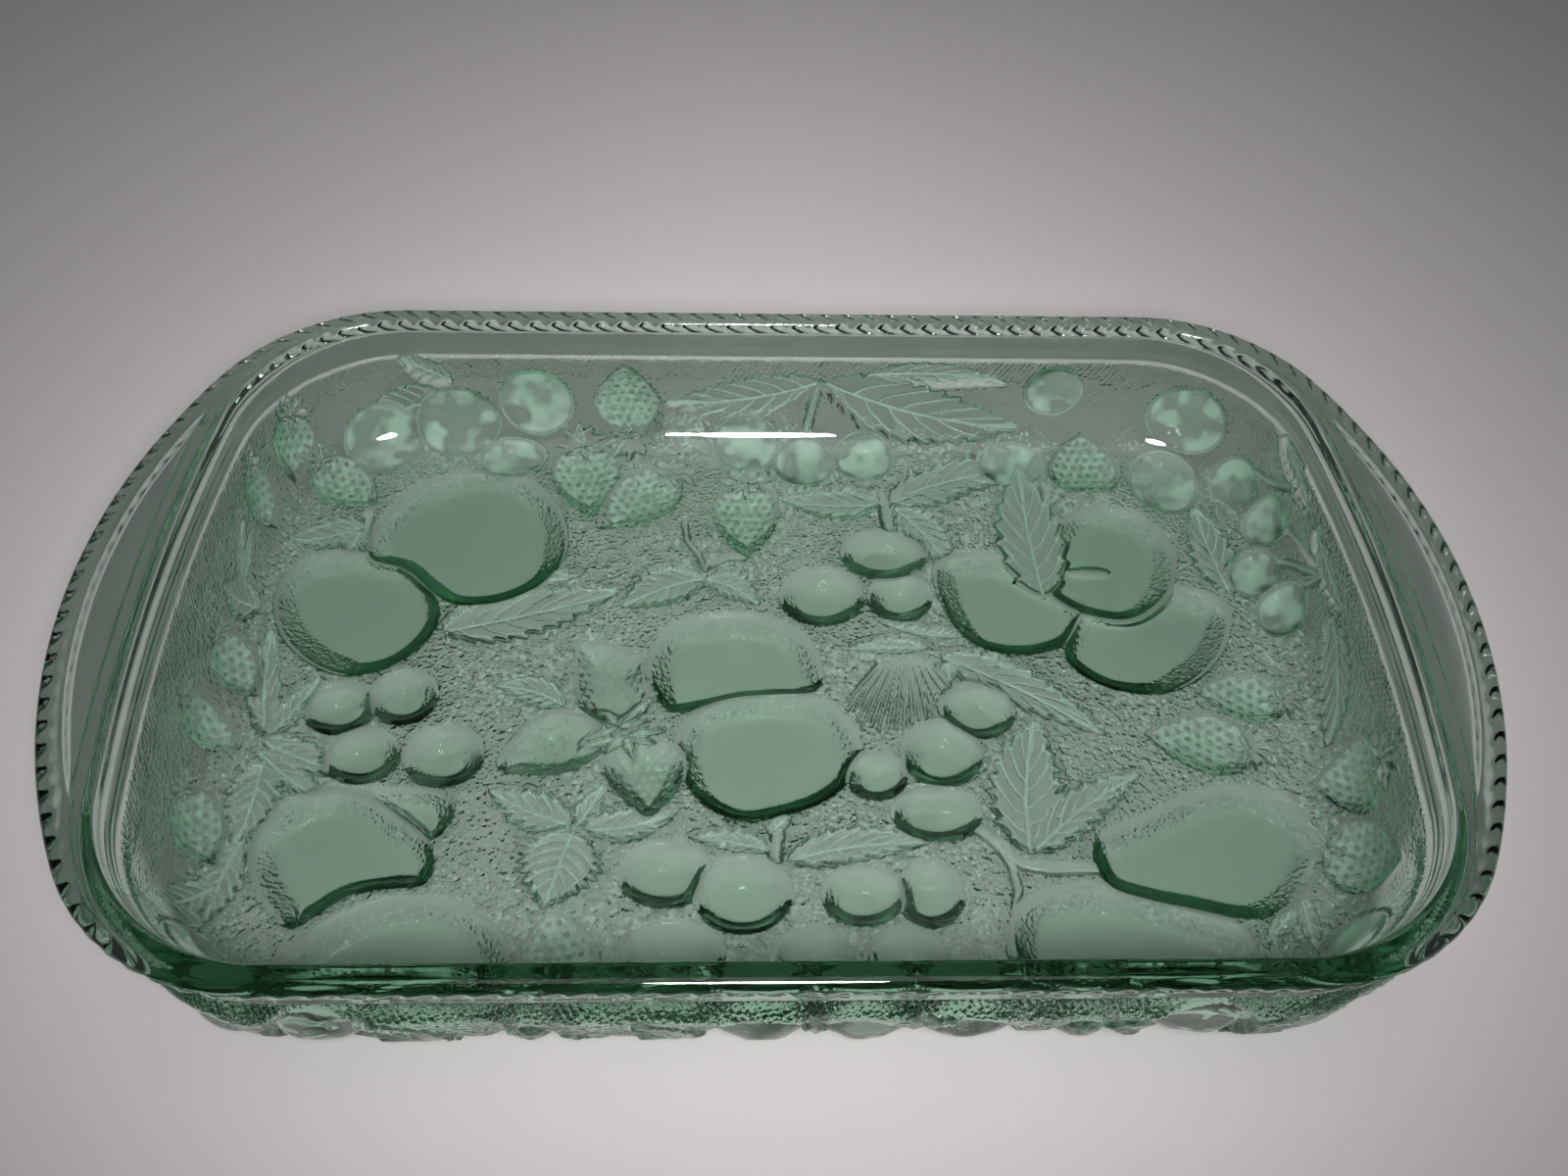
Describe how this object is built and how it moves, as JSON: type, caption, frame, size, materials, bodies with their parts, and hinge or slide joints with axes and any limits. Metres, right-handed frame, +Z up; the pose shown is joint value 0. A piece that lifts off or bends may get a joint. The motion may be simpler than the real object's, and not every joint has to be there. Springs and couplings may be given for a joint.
{
  "type": "pressed glass baking dish",
  "caption": "Shallow rectangular pressed-glass baking and serving dish with a drafted well, rope-edged rim, solid end handles and fruit relief underneath.",
  "frame": {"origin": "centre of the dish in plan, on the surface it rests on", "axes": "+X from one handle to the other, +Y across the dish, +Z up out of the well"},
  "size_m": [0.381, 0.225, 0.055],
  "materials": {
    "green_glass": "fire-polished clear green soda-lime glass, smooth inside, patterned outside"
  },
  "bodies": {
    "root": {"glass_dish": "green_glass"}
  },
  "joints": []
}
